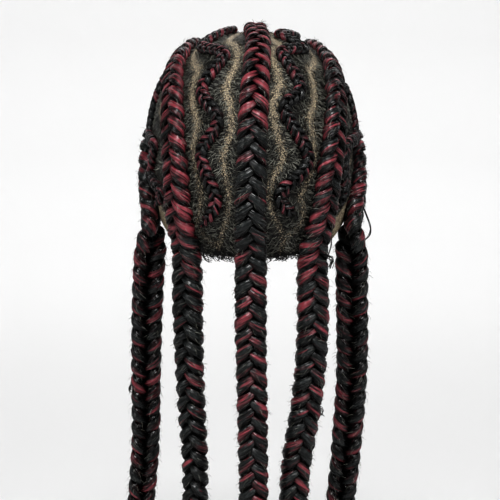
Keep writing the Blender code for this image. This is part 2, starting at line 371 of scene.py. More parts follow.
def thick_route(braid):
    """The middle line of a thick braid, over the cap and then hanging, and its length on the cap."""
    points = []
    faces = []
    aims = head_directions(braid)
    for index, aim in enumerate(aims):
        thickness = braid_size(braid, index / (len(aims) - 1))[1]
        point, normal = on_head(aim, CAP_WALL + SEAT_GAP + thickness / 2)
        points.append(point)
        faces.append(normal)
    head_count = len(points)
    leaving = (points[-1] - points[-2]).normalized()
    slope = Vector((leaving.x, leaving.y, 0)) / abs(leaving.z) * LEAVING_BEND
    start = points[-1]
    fall = start.z + CAP_DROP + BRAID_FALL * braid.fall_share
    turn_start = math.degrees(math.atan2(faces[-1].x, faces[-1].y))
    rise_start = math.degrees(math.asin(faces[-1].z))
    sway = [Vector((offset, 0)) for offset in braid.sway]
    offsets = spline(sway, SAMPLES_PER_SPAN)[1:]
    for index, offset in enumerate(offsets):
        drop = fall * (index + 1) / len(offsets)
        swing = slope * (1 - math.exp(-drop / LEAVING_BEND))
        points.append(start + swing + Vector((offset.x * fall, 0, -drop)))
        turned = smooth(drop / TURNING_LENGTH)
        face_turn = mix(turn_start, braid.facing, turned)
        faces.append(direction(face_turn, rise_start * (1 - turned)))
    route = Route(points, faces)
    return route, route.lengths[head_count - 1]


def plait_line(name, route, size_at, red_at, stitch, start, samples):
    """A braid's middle line as a chain of edges, which carries what the plait needs at each point."""
    count = round(route.length / (stitch * STRAND_COUNT) * samples)
    shape = bmesh.new()
    chain = []
    names = ("side", "face", "half_width", "half_thickness", "turn", "red", "along")
    columns = {column: [] for column in names}
    for step in range(count + 1):
        distance = route.length * step / count
        point, side, face = route.at(distance)
        width, thickness = size_at(distance)
        chain.append(shape.verts.new(point))
        turn = math.tau * (distance / stitch + start) / STRAND_COUNT
        row = (side, face, width / 2, thickness / 2, turn, red_at(distance), distance)
        for column, value in zip(names, row):
            columns[column].append(value)
    for pair in zip(chain, chain[1:]):
        shape.edges.new(pair)
    mesh = bpy.data.meshes.new(name)
    shape.to_mesh(mesh)
    shape.free()
    for column, values in columns.items():
        if isinstance(values[0], Vector):
            attribute = mesh.attributes.new(column, "FLOAT_VECTOR", "POINT")
            attribute.data.foreach_set("vector", [part for value in values for part in value])
        else:
            attribute = mesh.attributes.new(column, "FLOAT", "POINT")
            attribute.data.foreach_set("value", values)
    return mesh


def grow(name, mesh, tree, settings):
    """What a node tree makes from a mesh, as a plain object at the origin."""
    item = add_object(name, mesh)
    modifier = item.modifiers.new("growth", "NODES")
    modifier.node_group = tree
    for socket in tree.interface.items_tree:
        if socket.item_type == "SOCKET" and socket.in_out == "INPUT" and socket.name in settings:
            modifier[socket.identifier] = settings[socket.name]
    graph = bpy.context.evaluated_depsgraph_get()
    shown = item.evaluated_get(graph)
    grown = bpy.data.meshes.new_from_object(shown, preserve_all_data_layers=True, depsgraph=graph)
    item.modifiers.clear()
    item.data = grown
    grown.name = name
    return item


def add_node(tree, kind, inputs=(), **settings):
    """Adds a node with its settings and links.

    Its inputs are given in their order, or by name or number. Each is a value, the socket that feeds it,
    or a node, which stands for the first of its outputs that is in use.
    """
    node = tree.nodes.new(kind)
    for name, value in settings.items():
        setattr(node, name, value)
    for key, value in inputs.items() if isinstance(inputs, dict) else enumerate(inputs):
        if isinstance(value, bpy.types.Node):
            value = next(socket for socket in value.outputs if socket.enabled)
        if isinstance(value, bpy.types.NodeSocket):
            tree.links.new(value, node.inputs[key])
        else:
            node.inputs[key].default_value = value
    return node


def new_tree(name, sockets):
    """A geometry tree with these named inputs, and its input and output nodes."""
    tree = bpy.data.node_groups.new(name, "GeometryNodeTree")
    tree.interface.new_socket("Geometry", in_out="INPUT", socket_type="NodeSocketGeometry")
    for socket, kind in sockets.items():
        tree.interface.new_socket(socket, in_out="INPUT", socket_type=f"NodeSocket{kind}")
    tree.interface.new_socket("Geometry", in_out="OUTPUT", socket_type="NodeSocketGeometry")
    return tree, add_node(tree, "NodeGroupInput"), add_node(tree, "NodeGroupOutput")


def build_plait_tree():
    """Three strands that weave along a middle line.

    Each strand swings from side to side once in a turn and from front to back twice, so that it goes
    out over the face, round the edge and back behind. It comes up by the lead before it has crossed the
    middle, and its section rolls over as it goes round the edge.
    """
    tree, given, made = new_tree(
        "plait",
        {
            "Strands": "Int",
            "Sides": "Int",
            "Plumpness": "Float",
            "Fullness": "Float",
            "Lead": "Float",
            "Squeeze": "Float",
            "Lock Depth": "Float",
            "Lock Size": "Float",
            "Seed": "Float",
            "Material": "Material",
        },
    )
    known = {
        name: add_node(tree, "GeometryNodeInputNamedAttribute", {"Name": name}, data_type=kind)
        for kind, names in (
            ("FLOAT", ("strand", "turn", "angle", "half_width", "half_thickness", "round", "along")),
            ("FLOAT_VECTOR", ("side", "face", "centre", "middle", "grain", "fibre")),
        )
        for name in names
    }
    position = add_node(tree, "GeometryNodeInputPosition")

    # A copy of the middle line for each strand, a share of a turn apart
    lines = add_node(tree, "GeometryNodeMeshToCurve", {"Mesh": given.outputs["Geometry"]})
    lines = add_node(
        tree,
        "GeometryNodeDuplicateElements",
        {"Geometry": lines, "Amount": given.outputs["Strands"]},
        domain="SPLINE",
    )
    lines = add_node(
        tree,
        "GeometryNodeStoreNamedAttribute",
        {"Geometry": lines, "Name": "strand", "Value": lines.outputs["Duplicate Index"]},
        data_type="FLOAT",
        domain="CURVE",
    )
    step = add_node(tree, "ShaderNodeMath", (math.tau, given.outputs["Strands"]), operation="DIVIDE")
    angle = (known["strand"], step, known["turn"])
    angle = add_node(tree, "ShaderNodeMath", angle, operation="MULTIPLY_ADD")
    for name, value, kind in (("angle", angle, "FLOAT"), ("centre", position, "FLOAT_VECTOR")):
        inputs = {"Geometry": lines, "Name": name, "Value": value}
        lines = add_node(tree, "GeometryNodeStoreNamedAttribute", inputs, data_type=kind)

    # Where the strand's middle runs
    thin = add_node(tree, "ShaderNodeMath", (known["half_thickness"], 0.5), operation="MULTIPLY")
    room = add_node(tree, "ShaderNodeMath", (known["half_width"], thin), operation="SUBTRACT")
    swing = add_node(tree, "ShaderNodeMath", (known["angle"],), operation="SINE")
    swing = add_node(tree, "ShaderNodeMath", (room, swing), operation="MULTIPLY")
    dive = (known["angle"], 2.0, given.outputs["Lead"])
    dive = add_node(tree, "ShaderNodeMath", dive, operation="MULTIPLY_ADD")
    dive = add_node(tree, "ShaderNodeMath", (dive,), operation="SINE")
    dive = add_node(tree, "ShaderNodeMath", (thin, dive), operation="MULTIPLY")
    ways = [
        add_node(tree, "ShaderNodeVectorMath", {0: known[way], "Scale": size}, operation="SCALE")
        for way, size in (("side", swing), ("face", dive))
    ]
    offset = add_node(tree, "ShaderNodeVectorMath", ways, operation="ADD")
    lines = add_node(tree, "GeometryNodeSetPosition", {"Geometry": lines, "Offset": offset})
    for name, value in (("middle", position), ("grain", add_node(tree, "GeometryNodeInputTangent"))):
        inputs = {"Geometry": lines, "Name": name, "Value": value}
        lines = add_node(tree, "GeometryNodeStoreNamedAttribute", inputs, data_type="FLOAT_VECTOR")

    # A thin round skin that knows its place round the strand
    circle = {"Resolution": given.outputs["Sides"], "Radius": 0.001}
    profile = add_node(tree, "GeometryNodeCurvePrimitiveCircle", circle)
    factor = add_node(tree, "GeometryNodeSplineParameter").outputs["Factor"]
    turned = add_node(tree, "ShaderNodeMath", (factor, math.tau), operation="MULTIPLY")
    profile = add_node(
        tree,
        "GeometryNodeStoreNamedAttribute",
        {"Geometry": profile, "Name": "round", "Value": turned},
        data_type="FLOAT",
    )
    skin = add_node(
        tree, "GeometryNodeCurveToMesh", {"Curve": lines, "Profile Curve": profile, "Fill Caps": True}
    )

    # The strand's own section: its wide way rolls over, and it is squeezed where it crosses the middle
    flat = (known["face"], known["grain"])
    flat = add_node(tree, "ShaderNodeVectorMath", flat, operation="CROSS_PRODUCT")
    flat = add_node(tree, "ShaderNodeVectorMath", (flat,), operation="NORMALIZE")
    roll = add_node(tree, "ShaderNodeMath", (known["angle"],), operation="COSINE")
    roll = add_node(tree, "ShaderNodeMath", (1.0, roll), operation="SUBTRACT")
    roll = add_node(tree, "ShaderNodeMath", (roll, math.pi / 2), operation="MULTIPLY")
    wide = {"Vector": flat, "Axis": known["grain"], "Angle": roll}
    wide = add_node(tree, "ShaderNodeVectorRotate", wide)
    deep = add_node(tree, "ShaderNodeVectorMath", (known["grain"], wide), operation="CROSS_PRODUCT")
    squeeze = add_node(tree, "ShaderNodeMath", (known["angle"], 2.0), operation="MULTIPLY")
    squeeze = add_node(tree, "ShaderNodeMath", (squeeze,), operation="COSINE")
    squeeze = add_node(tree, "ShaderNodeMath", (squeeze, given.outputs["Squeeze"]), operation="MULTIPLY")
    squeeze = add_node(tree, "ShaderNodeMath", (1.0, squeeze), operation="SUBTRACT")
    half = (known["half_width"], given.outputs["Plumpness"])
    half = add_node(tree, "ShaderNodeMath", half, operation="MULTIPLY")
    half = add_node(tree, "ShaderNodeMath", (half, squeeze), operation="MULTIPLY")
    tall = (known["half_thickness"], given.outputs["Fullness"])
    tall = add_node(tree, "ShaderNodeMath", tall, operation="MULTIPLY")
    cosine = add_node(tree, "ShaderNodeMath", (known["round"],), operation="COSINE")
    sine = add_node(tree, "ShaderNodeMath", (known["round"],), operation="SINE")
    across = add_node(tree, "ShaderNodeMath", (cosine, half), operation="MULTIPLY")
    through = add_node(tree, "ShaderNodeMath", (sine, tall), operation="MULTIPLY")

    # Place on the strand in millimetres: across it, through it and along it, apart for each strand
    apart = add_node(tree, "ShaderNodeMath", (known["strand"], PATTERN_STEP), operation="MULTIPLY")
    beyond = add_node(tree, "ShaderNodeMath", (given.outputs["Seed"], PATTERN_STEP), operation="MULTIPLY")
    fibre = (
        add_node(tree, "ShaderNodeMath", (across, 1000.0, apart), operation="MULTIPLY_ADD"),
        add_node(tree, "ShaderNodeMath", (through, 1000.0, beyond), operation="MULTIPLY_ADD"),
        add_node(tree, "ShaderNodeMath", (known["along"], 1000.0), operation="MULTIPLY"),
    )
    fibre = add_node(tree, "ShaderNodeCombineXYZ", fibre)
    inputs = {"Geometry": skin, "Name": "fibre", "Value": fibre}
    skin = add_node(tree, "GeometryNodeStoreNamedAttribute", inputs, data_type="FLOAT_VECTOR")

    # Locks run long on the strand and stand out as rounded ridges with sharp creases between them
    long = add_node(tree, "ShaderNodeVectorMath", (known["fibre"], (1.0, 1.0, 0.05)), operation="MULTIPLY")
    ridge = add_node(
        tree, "ShaderNodeTexNoise", {"Vector": long, "Scale": given.outputs["Lock Size"], "Detail": 1.0}
    )
    ridge = add_node(tree, "ShaderNodeMath", (ridge, 22.0), operation="MULTIPLY")
    ridge = add_node(tree, "ShaderNodeMath", (ridge,), operation="SINE")
    ridge = add_node(tree, "ShaderNodeMath", (ridge,), operation="ABSOLUTE")
    ridge = add_node(tree, "ShaderNodeMath", (ridge, 0.6), operation="SUBTRACT")
    swell = add_node(
        tree, "ShaderNodeMath", (ridge, given.outputs["Lock Depth"], 1.0), operation="MULTIPLY_ADD"
    )
    ways = []
    for way, size in ((wide, across), (deep, through)):
        size = add_node(tree, "ShaderNodeMath", (size, swell), operation="MULTIPLY")
        ways.append(add_node(tree, "ShaderNodeVectorMath", {0: way, "Scale": size}, operation="SCALE"))
    place = add_node(tree, "ShaderNodeVectorMath", ways, operation="ADD")
    place = add_node(tree, "ShaderNodeVectorMath", (known["middle"], place), operation="ADD")

    # How far out each point lies, from 0 at the plait's middle line to 1 at its outline
    offset = add_node(tree, "ShaderNodeVectorMath", (place, known["centre"]), operation="SUBTRACT")
    squares = []
    for way, size in (("side", "half_width"), ("face", "half_thickness")):
        reach = add_node(tree, "ShaderNodeVectorMath", (offset, known[way]), operation="DOT_PRODUCT")
        reach = add_node(tree, "ShaderNodeMath", (reach, known[size]), operation="DIVIDE")
        reach = add_node(tree, "ShaderNodeMath", (reach,), operation="ABSOLUTE")
        squares.append(add_node(tree, "ShaderNodeMath", (reach, 2.0), operation="POWER"))
    reach = add_node(tree, "ShaderNodeMath", squares, operation="ADD")
    reach = add_node(tree, "ShaderNodeMath", (reach,), operation="SQRT")
    edge = add_node(tree, "ShaderNodeMath", (cosine,), operation="ABSOLUTE")
    hairy = add_node(tree, "ShaderNodeMath", (reach, STRAY_REACH), operation="GREATER_THAN")
    for name, value, kind in (
        ("depth", reach, "FLOAT"),
        ("edge", edge, "FLOAT"),
        ("flow", known["grain"], "FLOAT_VECTOR"),
        ("hairiness", hairy, "FLOAT"),
    ):
        inputs = {"Geometry": skin, "Name": name, "Value": value}
        skin = add_node(tree, "GeometryNodeStoreNamedAttribute", inputs, data_type=kind)
    skin = add_node(tree, "GeometryNodeSetPosition", {"Geometry": skin, "Position": place})
    skin = add_node(tree, "GeometryNodeSetShadeSmooth", {"Geometry": skin})
    skin = add_node(tree, "GeometryNodeRealizeInstances", {"Geometry": skin})
    skin = add_node(
        tree, "GeometryNodeSetMaterial", {"Geometry": skin, "Material": given.outputs["Material"]}
    )
    tree.links.new(skin.outputs[0], made.inputs["Geometry"])
    return tree


def hair_material(name, black, red, roughness, fibre_size):
    """Kinky synthetic fibre, spun in two colours and laid in locks.

    It has a broken sheen: each wisp of fibres glints on its crest, which is also painted lighter, while
    painted shade darkens its creases and the hollows between the strands. Real fibres are under 0.1 mm
    thick, too fine to show, so the wisps are drawn as wide as fibre_size, in millimetres.
    """
    material, tree, shader = new_material(
        name, {"Anisotropic": 0.8, "Anisotropic Rotation": 0.25, "Specular IOR Level": 0.4}
    )
    fibre, grain, share, depth, edge = (
        add_node(tree, "ShaderNodeAttribute", attribute_name=attribute).outputs[output]
        for attribute, output in (
            ("fibre", "Vector"),
            ("grain", "Vector"),
            ("red", "Fac"),
            ("depth", "Fac"),
            ("edge", "Fac"),
        )
    )
    # The wisps' noise is coarser than a wisp, and the sine below folds each swell of it into several
    streaks = []
    sizes = ((LOCK_WIDTH, LOCK_LENGTH, 3.0), (fibre_size * 2.6, 2 * LOCK_LENGTH, 1.5))
    for across, along, detail in sizes:
        size = (1 / across, 1 / across, 1 / along)
        scaled = add_node(tree, "ShaderNodeVectorMath", (fibre, size), operation="MULTIPLY")
        inputs = {"Vector": scaled, "Scale": 1.0, "Detail": detail}
        streaks.append(add_node(tree, "ShaderNodeTexNoise", inputs))
    locks, wisps = streaks

    # Each lock takes one colour or the other
    shift = add_node(tree, "ShaderNodeMath", (share, -0.5), operation="ADD")
    shift = add_node(tree, "ShaderNodeMath", (shift, 0.40, locks), operation="MULTIPLY_ADD")
    mask = add_node(tree, "ShaderNodeMapRange", (shift, 0.47, 0.55))
    colors = {0: mask, 6: linear_color(black), 7: linear_color(red)}
    color = add_node(tree, "ShaderNodeMix", colors, data_type="RGBA")

    # Painted light and shade: each wisp is painted lighter on its crest and darker in its creases, and
    # painted shade darkens everything down between the strands and on each strand's flanks
    wisps = add_node(tree, "ShaderNodeMath", (wisps, 20.0), operation="MULTIPLY")
    wisps = add_node(tree, "ShaderNodeMath", (wisps,), operation="SINE")
    wisps = add_node(tree, "ShaderNodeMath", (wisps,), operation="ABSOLUTE")
    painted_light_tone = add_node(tree, "ShaderNodeMapRange", (wisps, 0.1, 0.95, 0.06, 2.3))
    # Painted shade: darker toward the plait's middle line and on each strand's flanks, where shade falls
    hollow_shade = add_node(tree, "ShaderNodeMapRange", (depth, 0.55, 1.02, 0.02, 1.2))
    flank_shade = add_node(tree, "ShaderNodeMapRange", (edge, 0.45, 0.92, 1.0, 0.04))
    hollow_shade = add_node(tree, "ShaderNodeMath", (hollow_shade, flank_shade), operation="MULTIPLY")
    light = add_node(tree, "ShaderNodeMath", (painted_light_tone, hollow_shade), operation="MULTIPLY")
    toned = add_node(tree, "ShaderNodeVectorMath", {0: color, "Scale": light}, operation="SCALE")
    gloss = add_node(tree, "ShaderNodeMapRange", (wisps, 0.2, 0.8, roughness + 0.3, roughness))
    bump = add_node(tree, "ShaderNodeBump", {"Height": wisps, "Distance": 0.0003, "Strength": 1.0})
    tree.links.new(toned.outputs[0], shader.inputs["Base Color"])
    tree.links.new(gloss.outputs[0], shader.inputs["Roughness"])
    tree.links.new(bump.outputs[0], shader.inputs["Normal"])

    # Light spreads across the fibres, not along them
    tree.links.new(grain, shader.inputs["Tangent"])
    return material


def build_thick_braids():
    tree = build_plait_tree()
    # Synthetic braiding hair, black mixed with burgundy, combed and plaited dry, with a soft sheen
    hair = hair_material("braiding_hair", black="151717", red="56282d", roughness=0.27, fibre_size=1.5)
    for number, (name, braid) in enumerate(BRAIDS.items()):
        route, leaving = thick_route(braid)

        def station(distance):
            if distance < leaving:
                return distance / leaving
            return 1 + (distance - leaving) / (route.length - leaving)

        def size_at(distance):
            width, thickness = braid_size(braid, station(distance))
            tail = mix(TIP_SHARE, 1.0, smooth((route.length - distance) / TAIL_LENGTH))
            return width * tail, thickness * tail

        def red_at(distance):
            return table_value(braid.reds, station(distance), 1)

        line = plait_line(name, route, size_at, red_at, BRAID_STITCH, braid.start, samples=28)
        settings = {
            "Strands": STRAND_COUNT,
            "Sides": 40,
            "Plumpness": 0.43,
            "Fullness": 0.60,
            "Lead": 0.35,
            "Squeeze": 0.22,
            "Lock Depth": 0.22,
            "Lock Size": 0.16,
            "Seed": float(number),
            "Material": hair,
        }
        plait = grow(f"{name}_hair", line, tree, settings)
        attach(plait, "root")
        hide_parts(name)
    return tree


plait_tree = build_thick_braids()


# The zigzag cornrows
# Thin tight plaits of the same hair, sewn down in zigzags along the middle of each lane.

ZIGZAG_WIDTH = 0.0100
ZIGZAG_HEIGHT = 0.0055
ZIGZAG_STITCH = 0.0066
ZIGZAG_END_SHARE = 0.45
LANE_GAP = 0.0012

# Beside: the two thick braids of the lane. Corners: progress along the lane from the hairline to the
# nape, and the place across it, 0 against the first braid and 1 against the second.
Zigzag = namedtuple("Zigzag", "beside corners red start")
ZIGZAGS = {
    "zigzag_inner_left": Zigzag(
        beside=("braid_center", "braid_inner_left"),
        corners=(
            (0.03, 0.50), (0.12, 0.15), (0.22, 0.80), (0.33, 0.20), (0.45, 0.80), (0.55, 0.25),
            (0.63, 0.70), (0.71, 0.30), (0.77, 0.78), (0.89, 0.40), (0.95, 1.00),
        ),
        red=0.45,
        start=0.0,
    ),
    "zigzag_inner_right": Zigzag(
        beside=("braid_center", "braid_inner_right"),
        corners=(
            (0.03, 0.50), (0.12, 0.80), (0.22, 0.20), (0.32, 0.75), (0.41, 0.15), (0.47, 0.68),
            (0.54, 0.08), (0.63, 0.50), (0.69, 0.18), (0.78, 0.92), (0.88, 0.18), (0.93, 0.87),
        ),
        red=0.35,
        start=0.5,
    ),
    "zigzag_outer_left": Zigzag(
        beside=("braid_inner_left", "braid_outer_left"),
        corners=(
            (0.07, 0.50), (0.17, 0.90), (0.30, 0.10), (0.45, 0.45), (0.59, 1.00),
            (0.69, 0.45), (0.78, 1.00), (0.86, 0.32), (0.92, 0.78),
        ),
        red=0.4,
        start=0.3,
    ),
    "zigzag_outer_right": Zigzag(
        beside=("braid_inner_right", "braid_outer_right"),
        corners=(
            (0.07, 0.50), (0.16, 0.10), (0.29, 0.90), (0.44, 0.45), (0.59, 1.00),
            (0.70, 0.18), (0.78, 0.22), (0.85, 0.40), (0.91, 0.25),
        ),
        red=0.4,
        start=0.7,
    ),
}


def lane_direction(zigzag, progress, across):
    """A direction in the lane between two thick braids, kept clear of both."""
    aims = []
    margins = []
    for neighbour in zigzag.beside:
        braid = BRAIDS[neighbour]
        line = head_directions(braid)
        place = progress * (len(line) - 1)
        index = min(int(place), len(line) - 2)
        aims.append(line[index].lerp(line[index + 1], place - index).normalized())
        margins.append(braid_size(braid, progress)[0] / 2 + LANE_GAP + ZIGZAG_WIDTH / 2)
    lane = (on_head(aims[0], CAP_WALL)[0] - on_head(aims[1], CAP_WALL)[0]).length
    low = margins[0] / lane
    high = 1 - margins[1] / lane
    if low > high:
        low = high = margins[0] / (margins[0] + margins[1])
    return aims[0].slerp(aims[1], mix(low, high, across))


def zigzag_route(zigzag):
    knots = [lane_direction(zigzag, *corner) for corner in zigzag.corners]
    points = []
    faces = []
    for aim in spline(knots, SAMPLES_PER_SPAN):
        point, normal = on_head(aim.normalized(), CAP_WALL + SEAT_GAP + ZIGZAG_HEIGHT / 2)
        points.append(point)
        faces.append(normal)
    return Route(points, faces)


def build_zigzags():
    # The same hair in thinner strands, plaited tighter, so its wisps are finer; its red is set a little
    # darker
    hair = hair_material("cornrow_hair", black="151616", red="50272c", roughness=0.27, fibre_size=1.0)
    for number, (name, zigzag) in enumerate(ZIGZAGS.items()):
        route = zigzag_route(zigzag)

        def size_at(distance):
            from_end = min(distance, route.length - distance) / (2 * ZIGZAG_STITCH)
            return ZIGZAG_WIDTH * mix(ZIGZAG_END_SHARE, 1.0, smooth(from_end)), ZIGZAG_HEIGHT

        def red_at(distance):
            return zigzag.red

        line = plait_line(name, route, size_at, red_at, ZIGZAG_STITCH, zigzag.start, samples=18)
        settings = {
            "Strands": STRAND_COUNT,
            "Sides": 14,
            "Plumpness": 0.43,
            "Fullness": 0.60,
            "Lead": 0.35,
            "Squeeze": 0.20,
            "Lock Depth": 0.16,
            "Lock Size": 0.3,
            "Seed": 10.0 + number,
            "Material": hair,
        }
        plait = grow(f"{name}_hair", line, plait_tree, settings)
        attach(plait, "root")
        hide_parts(name)


build_zigzags()


# The cap
# A stretchy lace net cut to the head, hidden under hair that is combed flat from each parting into the
# cornrows beside it. Tan net shows along the partings, and past the hair behind the ears.

CAP_COLUMNS = 224
CAP_ROWS = 60
NET_THICKNESS = 0.0008
LAID_HAIRS = 33000

# The cap's rim: azimuth, and its depth below the crown as a share of CAP_DROP
RIM = (
    (0, 1.00),
    (30, 0.99),
    (60, 0.96),
    (78, 0.87),
    (92, 0.74),
    (106, 0.72),
    (118, 0.78),
    (128, 0.62),
    (142, 0.46),
    (160, 0.37),
    (180, 0.34),
)

# Azimuth, and how far above the rim the laid hair ends, in millimetres
LACE_MARGINS = (
    (0, -3.0),
    (50, -3.0),
    (57, 20.0),
    (78, 24.0),
    (92, 8.0),
    (120, 5.0),
    (150, 6.0),
    (180, 6.0),
)


def rim_elevation(azimuth):
    """The elevation at which the head form reaches the rim's depth."""
    azimuth = abs((azimuth + 180) % 360 - 180)
    depth = table_value(RIM, azimuth, 1) * CAP_DROP
    rise = 1 - depth / HEAD_DOME_HEIGHT
    power = abs(rise) ** HEAD_SQUARENESS
    slope = (power / (1 - power)) ** (1 / HEAD_SQUARENESS)
    return math.degrees(math.atan(math.copysign(slope, rise)))


def cornrow_lines():
    """Each cornrow's seat on the cap: points with the half width there, and a tree to search them."""
    lines = []
    for braid in BRAIDS.values():
        aims = head_directions(braid)
        spots = [on_head(aim, CAP_WALL)[0] for aim in aims]
        halves = [braid_size(braid, index / (len(aims) - 1))[0] / 2 for index in range(len(aims))]
        lines.append((spots, halves))
    for zigzag in ZIGZAGS.values():
        route = zigzag_route(zigzag)
        spots = [point - face * ZIGZAG_HEIGHT / 2 for point, face in zip(route.points, route.faces)]
        lines.append((spots, [ZIGZAG_WIDTH / 2] * len(spots)))
    found = []
    for spots, halves in lines:
        search = kdtree.KDTree(len(spots))
        for index, spot in enumerate(spots):
            search.insert(spot, index)
        search.balance()
        found.append((spots, halves, search))
    return found


def cap_mesh():
    """The cap's outside, in rings round its crown.

    Its points know how far the parting, the bare net and the nearest cornrow are, in millimetres.
    """
    lines = cornrow_lines()
    shape = bmesh.new()
    turns = [360 * column / CAP_COLUMNS for column in range(CAP_COLUMNS)]
    rings = [[shape.verts.new((0, 0, 1))] * CAP_COLUMNS]
    for row in range(1, CAP_ROWS + 1):
        slope = 90 - 90 * row / CAP_ROWS
        rings.append([shape.verts.new(direction(turn, slope)) for turn in turns])
    join_rings(shape, rings)
    columns = {"parting": [], "margin": [], "cover": [], "lane": [], "hairiness": []}
    flows = []
    for vert in shape.verts:
        azimuth = math.degrees(math.atan2(vert.co.x, vert.co.y))
        depth = math.acos(min(1.0, vert.co.z)) / (math.pi / 2)
        rim = rim_elevation(azimuth)
        spot, normal = on_head(direction(azimuth, mix(90, rim, depth)), CAP_WALL)
        vert.co = spot
        edges = []
        for spots, halves, search in lines:
            _, index, distance = search.find(spot)
            edges.append((distance - halves[index], index, spots))
        edges.sort(key=lambda edge: edge[0])
        parting = (edges[1][0] - edges[0][0]) / 2 * 1000
        cover = edges[0][0] * 1000
        above_rim = (spot.z + table_value(RIM, abs(azimuth), 1) * CAP_DROP) * 1000
        margin = above_rim - table_value(LACE_MARGINS, abs(azimuth), 1)
        index = edges[0][1]
        spots = edges[0][2]
        columns["parting"].append(parting)
        columns["margin"].append(margin)
        columns["cover"].append(cover)
        columns["lane"].append(index * (spots[1] - spots[0]).length * 1000)
        # Hair thins over the last millimetres before a parting's middle, a cornrow's seat and the bare net
        beside_parting = mix(0.2, 1, smooth(parting / 3.5))
        columns["hairiness"].append(beside_parting * smooth(cover / 2 + 2) * smooth(margin / 3))
        toward = spots[index] - spot
        toward -= normal * toward.dot(normal)
        along = spots[min(index + 2, len(spots) - 1)] - spots[max(index - 2, 0)]
        along -= normal * along.dot(normal)
        flow = toward.normalized() + 0.5 * along.normalized()
        flows.extend(flow.normalized())
    mesh = bpy.data.meshes.new("cap")
    shape.to_mesh(mesh)
    shape.free()
    for name, values in columns.items():
        mesh.attributes.new(name, "FLOAT", "POINT").data.foreach_set("value", values)
    mesh.attributes.new("flow", "FLOAT_VECTOR", "POINT").data.foreach_set("vector", flows)
    return mesh


def net_material():
    """Knitted nylon lace, tan and matt, under combed hair except along the partings and behind the ears.

    The hair lies flat, so it shows as fine dark streaks with a painted dull grey sheen on their crests.
    """
    material, tree, shader = new_material("lace_net", {"Roughness": 0.55, "Specular IOR Level": 0.3})
    place = add_node(tree, "ShaderNodeTexCoord").outputs["Object"]
    parting, margin, cover, lane = (
        add_node(tree, "ShaderNodeAttribute", attribute_name=name).outputs["Fac"]
        for name in ("parting", "margin", "cover", "lane")
    )

    # Knots of the net are 1.5 mm apart, coarser than the real ones, which are too fine to show
    knots = {"Vector": place, "Scale": 650.0}
    knots = add_node(tree, "ShaderNodeTexVoronoi", knots, feature="DISTANCE_TO_EDGE").outputs["Distance"]
    knots = add_node(tree, "ShaderNodeMapRange", (knots, 0.05, 0.2))
    colors = {0: knots, 6: linear_color("6f675c"), 7: linear_color("bfb196")}
    net = add_node(tree, "ShaderNodeMix", colors, data_type="RGBA")

    # Combed hairs, 0.8 mm apart, slant down from the parting into the cornrow
    slant = add_node(tree, "ShaderNodeMath", (cover, -0.5, lane), operation="MULTIPLY_ADD")
    length = add_node(tree, "ShaderNodeMath", (cover, 0.2), operation="MULTIPLY")
    combed = add_node(tree, "ShaderNodeCombineXYZ", {"X": slant, "Y": length})
    hairs = add_node(tree, "ShaderNodeTexNoise", {"Vector": combed, "Scale": 1.2, "Detail": 3.0})
    # Painted sheen: the crests of the combed hairs are painted grey on near black
    crest_sheen = add_node(tree, "ShaderNodeMapRange", (hairs, 0.52, 0.66))
    colors = {0: crest_sheen, 6: linear_color("080707"), 7: linear_color("4f4e47")}
    hair = add_node(tree, "ShaderNodeMix", colors, data_type="RGBA")

    # Roots about 1 mm apart leave speckles of net, fewer the further from a parting and the further down
    ragged = add_node(tree, "ShaderNodeTexNoise", {"Vector": place, "Scale": 900.0, "Detail": 2.0})
    height = add_node(tree, "ShaderNodeSeparateXYZ", (place,)).outputs["Z"]
    lower = add_node(tree, "ShaderNodeMapRange", (height, -0.05, -0.14, 0.0, 2.8))
    rooted = add_node(tree, "ShaderNodeMath", (parting, lower), operation="ADD")
    rooted = add_node(tree, "ShaderNodeMath", (ragged, -18.0, rooted), operation="MULTIPLY_ADD")
    rooted = add_node(tree, "ShaderNodeMapRange", (rooted, -7.9, -4.6))
    laid = add_node(tree, "ShaderNodeMapRange", (margin, -1.0, 1.5))
    covered = add_node(tree, "ShaderNodeMath", (rooted, laid), operation="MULTIPLY")
    color = add_node(tree, "ShaderNodeMix", {0: covered, 6: net, 7: hair}, data_type="RGBA")
    bump = add_node(tree, "ShaderNodeBump", {"Height": hairs, "Distance": 0.001, "Strength": 0.8})
    tree.links.new(color.outputs[2], shader.inputs["Base Color"])
    tree.links.new(bump.outputs[0], shader.inputs["Normal"])
    return material


